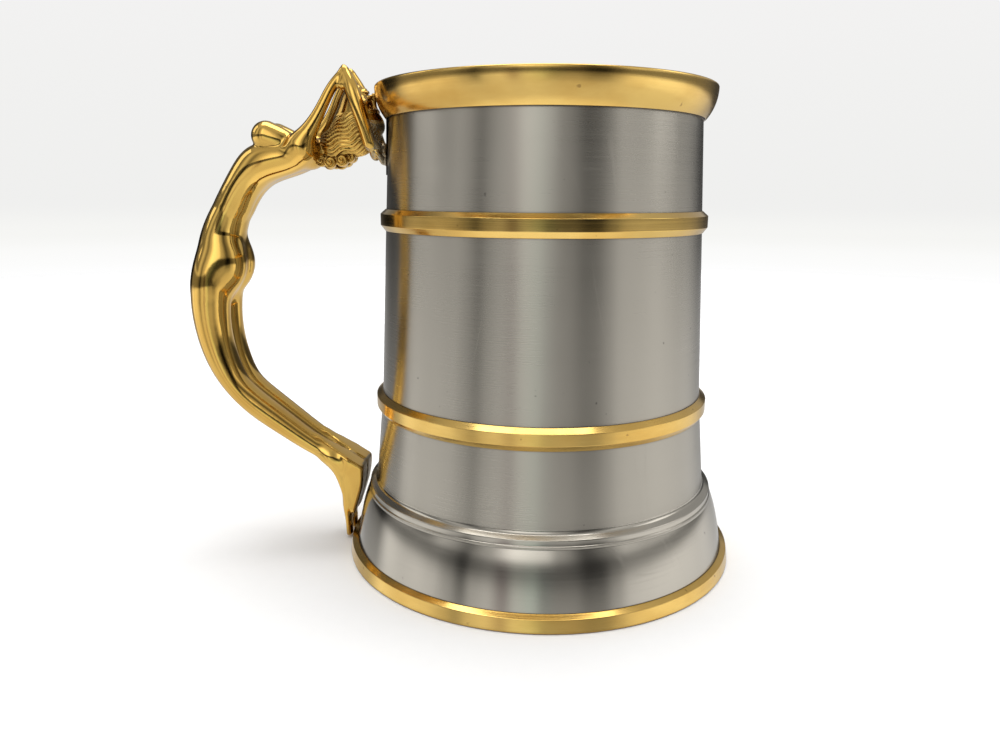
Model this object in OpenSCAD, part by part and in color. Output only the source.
/* [Cup] */
// Height of the rim above the surface that the tankard stands on
rim_h = 120; // [100:1:140]
// Outer radius at the widest part of the rim
rim_r = 42.2; // [40:0.1:45]
// Radius of the barrel's outer face just below the collar
barrel_top_r = 39.05; // [37:0.05:40]
// Radius of the barrel's outer face between the two bands, at the upper band
barrel_upper_r = 40.2; // [39:0.05:41]
// Radius of the barrel's outer face just above the lower band
barrel_lower_r = 41.95; // [41:0.05:43]
// Radius of the barrel's outer face where it enters the skirt
barrel_foot_r = 44; // [43:0.05:44.5]
// Thickness of the pewter wall
wall_t = 1.6; // [1.2:0.1:2.4]
// Height of the underside of the floor
floor_z = 4; // [3:0.5:8]
// Thickness of the floor
floor_t = 1.8; // [1.2:0.1:3]

/* [Brass trim] */
// Height of the rim collar
collar_h = 7.7; // [6:0.1:9]
// Thickness of the collar's sheet
collar_t = 0.7; // [0.5:0.05:1]
// Width of the rolled lip across the top of the wall
lip_w = 2.3; // [2:0.1:3]
// Height of the upper band's lower edge
upper_band_z = 85.5; // [80:0.1:92]
// Height of the lower band's lower edge
lower_band_z = 39.3; // [36:0.1:44]
// Height of each band
band_h = 5.3; // [4.5:0.1:6]
// How far each band stands out from the barrel
band_out = 1.35; // [0.8:0.05:2]
// Outer radius of the foot ring
foot_r = 51.8; // [50:0.1:53]
// Height of the foot ring's outer face
foot_face_h = 3.3; // [2.5:0.1:4]

/* [Skirt] */
// Height at which the skirt leaves the barrel
skirt_top_z = 21.3; // [20:0.1:25]
// Thickness of the skirt's sheet
skirt_t = 1.5; // [1:0.1:2]

/* [Handle] */
// Roundness of the cast figure: facets on each ball
figure_fn = 20; // [16:2:24]

/* [Hidden] */
$fn = 96;
steps = 10;
pewter = [0.66, 0.64, 0.61];
solder = [0.58, 0.57, 0.55];
gilt = [0.85, 0.65, 0.28];

// Points on an arc of radius r about c, from angle a0 to a1
function arc(c, r, a0, a1, n = steps) = [
    for (i = [0:n]) let(a = a0 + (a1 - a0) * i / n) c + r * [cos(a), sin(a)]
];
function reversed(list) = [for (i = [len(list) - 1:-1:0]) list[i]];
// Radius of the barrel's outer face at height z, straight between its four stations
function between(z, z0, r0, z1, r1) = r0 + (r1 - r0) * (z - z0) / (z1 - z0);
function barrel_r(z) =
    z > upper_band_z ? between(z, upper_band_z, barrel_upper_r, rim_h - collar_h, barrel_top_r)
    : z > lower_band_z + band_h
        ? between(z, lower_band_z + band_h, barrel_lower_r, upper_band_z, barrel_upper_r)
    : between(z, skirt_top_z, barrel_foot_r, lower_band_z + band_h, barrel_lower_r);

// The collar's face is one arc, upright at the rim, whose chord runs to the collar's lower edge
collar_lip_r = 0.45;
collar_foot_r = barrel_top_r + 0.45;
collar_rise = collar_h - collar_lip_r;
collar_sweep = 2 * atan((rim_r - collar_foot_r) / collar_rise);
collar_arc_r = collar_rise / sin(collar_sweep);
collar_centre = [rim_r - collar_arc_r, rim_h - collar_lip_r];
flare_r = collar_arc_r - collar_t;

// The skirt's outer face: a cove, a rounded ledge, a bead, and a bell that steepens to the foot ring
cove_r = 1.95;
cove_end = 255;
ledge_r = 0.42;
bead_r = 0.32;
bead_z = skirt_top_z - 3.3;
bell_top = [barrel_foot_r + 2.15, bead_z - 0.25];
bell_knee = [barrel_foot_r + 4.2, bead_z - 4];
bell_foot = [49.8, 3.3];
function bezier(a, b, c, t) = a * (1 - t) * (1 - t) + b * 2 * t * (1 - t) + c * t * t;
cove_centre = [barrel_foot_r + cove_r, skirt_top_z];
cove = arc(cove_centre, cove_r, 180, cove_end, 6);
ledge = arc(cove[6] - [0, ledge_r], ledge_r, 90, 0, 4);
bead = arc([barrel_foot_r + 1.95, bead_z], bead_r, 80, -40, 5);
bell = [for (i = [0:steps]) bezier(bell_top, bell_knee, bell_foot, i / steps)];
skirt_face = concat(cove, ledge, [[ledge[4][0], bead_z + 0.45]], bead, bell);

// The bands' bevels, and the small step where each bevel ends above the barrel
low_bevel = 1.75;
top_bevel = 1.15;
band_step = 0.35;

module revolve(points) rotate_extrude($fn = 96) polygon(points);

module barrel() {
    wall = concat(
        [[barrel_foot_r, floor_z], [barrel_foot_r, skirt_top_z]],
        [[barrel_lower_r, lower_band_z + band_h], [barrel_upper_r, upper_band_z]],
        arc(collar_centre, flare_r, -collar_sweep, 0)
    );
    inside = concat(
        [[barrel_foot_r - wall_t, floor_z], [barrel_foot_r - wall_t, skirt_top_z]],
        [[barrel_lower_r - wall_t, lower_band_z + band_h], [barrel_upper_r - wall_t, upper_band_z]],
        arc(collar_centre, flare_r - wall_t, -collar_sweep, 0)
    );
    color(pewter) revolve(concat(wall, reversed(inside)));
}

module floor_disc() {
    color(pewter) translate([0, 0, floor_z]) cylinder(r = barrel_foot_r - wall_t, h = floor_t);
}

// Brass sheet spun over the flared lip of the barrel, with its top edge rolled over the wall
module rim_collar() {
    outside = arc(collar_centre, collar_arc_r, -collar_sweep, 0);
    roll = arc([rim_r - collar_lip_r, rim_h - collar_lip_r], collar_lip_r, 0, 90, 5);
    inner_edge = rim_r - lip_w;
    lip = [
        [inner_edge + 0.3, rim_h],
        [inner_edge, rim_h - 0.3],
        [inner_edge, rim_h - collar_lip_r]
    ];
    against_wall = reversed(arc(collar_centre, flare_r, -collar_sweep, 0));
    color(gilt) revolve(concat(outside, roll, lip, against_wall));
}

// Brass hoop with a flat face between two bevels, seated on the barrel
module band(z) {
    top = z + band_h;
    low_face = z + low_bevel;
    top_face = top - top_bevel;
    color(gilt) revolve([
        [barrel_r(z), z],
        [barrel_r(z) + band_step, z],
        [barrel_r(low_face) + band_out, low_face],
        [barrel_r(top_face) + band_out, top_face],
        [barrel_r(top) + band_step, top],
        [barrel_r(top), top]
    ]);
}
module upper_band() band(upper_band_z);
module lower_band() band(lower_band_z);

// Hollow flare round the foot of the barrel
module base_skirt() {
    foot_inside = bell_foot[0] - skirt_t;
    inside = [
        [foot_inside, bell_foot[1]],
        [foot_inside, bell_knee[1] - 6],
        [barrel_foot_r + 1.2, bead_z - 3.5],
        [barrel_foot_r, bead_z - 1.5],
        [barrel_foot_r, skirt_top_z]
    ];
    color(pewter) revolve(concat(skirt_face, inside));
}

// Brass edge ring that the tankard stands on
module foot_ring() {
    ring_inside = bell_foot[0] - skirt_t;
    color(gilt) revolve([
        [ring_inside, 0],
        [foot_r - 0.3, 0],
        [foot_r, 0.3],
        [foot_r - 0.5, foot_face_h],
        [bell_foot[0], foot_face_h + 0.7],
        [bell_foot[0], bell_foot[1]],
        [ring_inside, bell_foot[1]]
    ]);
}

// The whole cup's outside as one solid, which the handle and its solder are fitted against
module cup_outside() {
    ring = [[foot_r, -1], [foot_r, 0.3], [foot_r - 0.5, foot_face_h], [bell_foot[0], foot_face_h + 0.7]];
    revolve(concat(
        [[0, rim_h + 8], [rim_r, rim_h + 8]],
        reversed(arc(collar_centre, collar_arc_r, -collar_sweep, 0)),
        [[barrel_upper_r, upper_band_z], [barrel_lower_r, lower_band_z + band_h]],
        skirt_face,
        reversed(ring),
        [[0, -1]]
    ));
}

// Figure handle, cast in one piece. Every ball is [centre, radius, width factor across the handle].
toe = [[-52.9, -2.9, 1.6], 1.0, 1.6];
forefoot = [[-53.2, -3.1, 9.5], 1.2, 1.7];
instep = [[-53.6, -3.3, 15.5], 2.0, 1.3];
heel = [[-50.0, -3.2, 20.0], 2.0, 1.3];
ankle = [[-56.2, -3.6, 23.8], 2.7, 1.2];
shin = [[-63.2, -3.8, 28.2], 2.85, 1.2];
calf = [[-70.6, -3.9, 33.6], 3.3, 1.1];
knee = [[-80.6, -3.9, 42.6], 3.6, 1.1];
thigh = [[-85.9, -4.1, 52.5], 4.4, 1];
upper_thigh = [[-87.4, -4.2, 63.5], 4.9, 1];
hip = [[-86.6, -3.9, 71.5], 5.2, 1];
seat = [[-82.4, -3.2, 76.0], 4.8, 1];
pelvis = [[-86.0, 0, 77.0], 5.7, 1.5];
waist = [[-84.2, 0, 84.6], 5.0, 1.3];
midriff = [[-81.2, 0, 91.2], 4.6, 1.5];
ribs = [[-76.2, 0, 97.4], 4.8, 1.6];
chest = [[-68.2, 0, 102.8], 4.8, 1.6];
bust_root = [[-74.2, -4.2, 103.4], 3.2, 1];
bust = [[-71.2, -4.3, 109.3], 3.0, 1];
collar_bone = [[-64.6, -4.6, 106.0], 3.4, 1];
shoulder = [[-58.8, -5.9, 108.4], 2.5, 1];
upper_back = [[-60.0, 0, 104.6], 4.0, 1.7];
upper_arm = [[-54.9, -5.5, 115.4], 1.7, 1];
elbow = [[-49.9, -3.4, 124.2], 1.4, 1];
wrist = [[-43.4, -5.2, 107.4], 1.6, 1];
hand = [[-41.8, -4.6, 104.2], 1.9, 1];
neck = [[-53.0, 0, 110.0], 3.2, 1];
jaw = [[-47.4, 0, 118.0], 3.6, 1];
head = [[-47.4, 0, 112.8], 5.6, 0.9];
crown = [[-44.8, 0, 108.8], 4.9, 0.9];
nape = [[-53.4, 0, 105.4], 3.6, 1.3];

module ball(b) translate(b[0]) scale([1, b[2], 1]) sphere(r = b[1], $fn = figure_fn);
module limb(a, b) hull() {
    ball(a);
    ball(b);
}
module chain(balls) for (i = [1:len(balls) - 1]) limb(balls[i - 1], balls[i]);
module both_sides() {
    children();
    mirror([0, 1, 0]) children();
}

module handle_figure() {
    color(gilt) difference() {
        union() {
            both_sides() {
                chain([toe, forefoot, instep, ankle, shin, calf, knee, thigh, upper_thigh, hip, pelvis]);
                chain([instep, heel, ankle]);
                chain([upper_thigh, seat, waist]);
                chain([ribs, bust_root, bust, collar_bone]);
                chain([bust_root, chest, collar_bone, shoulder, upper_arm, elbow, wrist, hand]);
            }
            chain([pelvis, waist, midriff, ribs, chest, upper_back, neck, jaw, head, crown]);
            chain([upper_back, nape, crown]);
        }
        cup_outside();
    }
}

// Fillet of solder where the hands and hair meet the barrel
module solder_top() {
    color(solder) difference() {
        translate([-40.6, 0, 105.5]) scale([0.5, 1.15, 1]) sphere(r = 5, $fn = 32);
        cup_outside();
        handle_figure();
    }
}

// Solder between the soles of the feet and the skirt, set back between the two feet
module solder_bottom() {
    color(solder) difference() {
        hull() {
            translate([-47.6, 0, 17.8]) scale([0.8, 1.3, 1]) sphere(r = 2.2, $fn = 32);
            translate([-50.9, 0, 7.5]) scale([1, 1.3, 1]) sphere(r = 2, $fn = 32);
        }
        cup_outside();
        handle_figure();
    }
}

barrel();
floor_disc();
rim_collar();
upper_band();
lower_band();
base_skirt();
foot_ring();
handle_figure();
solder_top();
solder_bottom();
